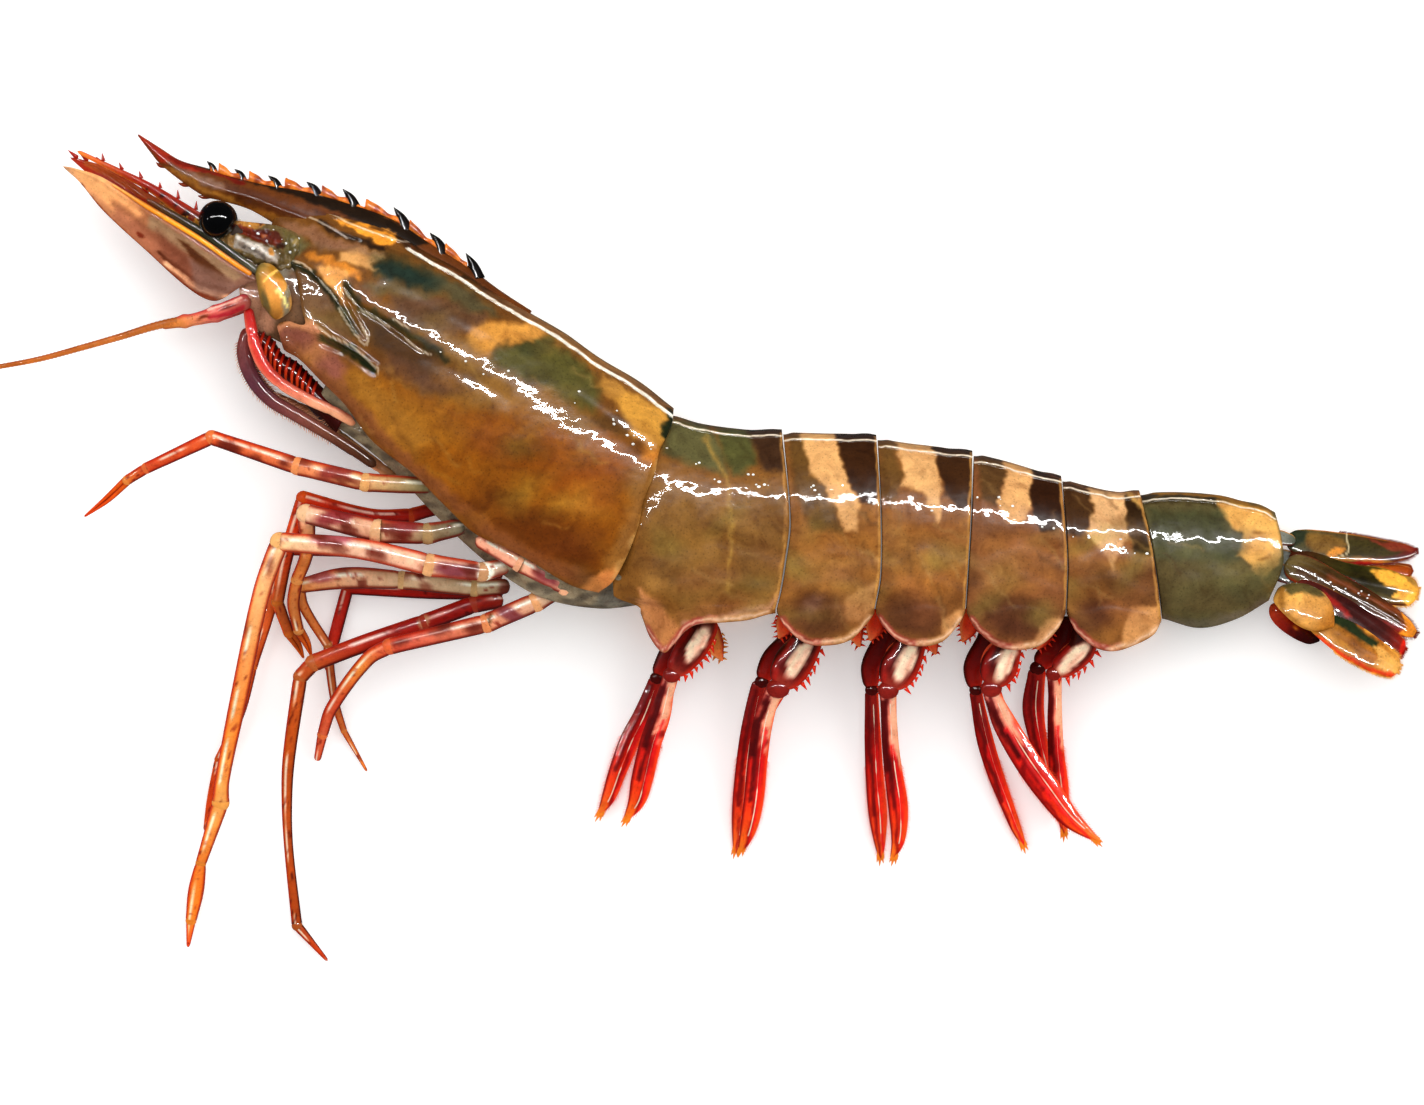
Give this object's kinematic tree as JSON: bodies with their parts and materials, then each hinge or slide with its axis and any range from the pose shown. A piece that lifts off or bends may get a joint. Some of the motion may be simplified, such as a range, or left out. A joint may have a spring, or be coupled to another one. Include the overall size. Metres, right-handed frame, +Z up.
{
  "type": "raw tiger prawn",
  "caption": "Whole raw tiger prawn lying on its side: toothed horn, carapace, banded tail, tail fan, walking and swimming legs.",
  "frame": {"origin": "on the floor, in the small flat under the carapace that the prawn rests on", "axes": "+X from the head to the tail, +Y from the belly to the back, +Z up from the floor through the side that shows"},
  "size_m": [0.263, 0.1326, 0.0246],
  "materials": {
    "shell": "wet translucent olive-brown shell with darker and paler bands",
    "head_olive": "wet dark olive-grey flesh between the eyes and the jaws",
    "tail_green": "wet dark green-brown plate of the tail fan",
    "tail_amber": "wet translucent amber shell",
    "tail_maroon": "wet dark maroon plate of the tail fan",
    "underside_grey": "wet grey skin of the breast",
    "eye_black": "glossy black eye",
    "scale_tan": "wet pale tan shell",
    "feeler_amber": "wet amber feeler",
    "mouth_coral": "wet coral-red feeding limb",
    "mouth_plum": "wet plum-purple feeding limb",
    "leg_pale": "wet pale peach leg with purple patches",
    "leg_crimson": "wet dark red to orange leg"
  },
  "bodies": {
    "root": {"carapace": "shell", "abdomen_1": "shell", "abdomen_2": "shell", "abdomen_3": "shell", "abdomen_4": "shell", "abdomen_5": "shell", "abdomen_6": "shell", "telson": "tail_maroon", "exopod_right": "tail_green", "endopod_right": "tail_amber", "endopod_left": "tail_maroon", "exopod_left": "tail_amber", "uropod_base_left": "tail_amber", "uropod_base_right": "tail_amber", "breast": "underside_grey", "head": "head_olive", "eye_left": "eye_black", "scale_base_left": "tail_amber", "scale_left": "scale_tan", "antenna_left": "feeler_amber", "antennule_left": "leg_crimson", "eye_right": "eye_black", "scale_base_right": "tail_amber", "scale_right": "scale_tan", "antenna_right": "feeler_amber", "antennule_right": "leg_crimson", "maxilliped_left": "mouth_coral", "maxilliped_right": "scale_tan", "mouth_lobe_left": "mouth_plum", "mouth_lobe_right": "mouth_plum", "jaws": "mouth_plum", "leg_1_left": "leg_pale", "leg_2_left": "leg_pale", "leg_3_left": "leg_pale", "leg_4_left": "leg_pale", "leg_5_left": "leg_pale", "leg_1_right": "leg_crimson", "leg_2_right": "leg_pale", "leg_3_right": "leg_crimson", "leg_4_right": "leg_crimson", "leg_5_right": "leg_crimson", "swimmer_1_left": "leg_crimson", "swimmer_1_right": "leg_crimson", "swimmer_2_left": "leg_crimson", "swimmer_2_right": "leg_crimson", "swimmer_3_left": "leg_crimson", "swimmer_3_right": "leg_crimson", "swimmer_4_left": "leg_crimson", "swimmer_4_right": "leg_crimson", "swimmer_5_left": "leg_crimson", "swimmer_5_right": "leg_crimson"}
  },
  "joints": []
}
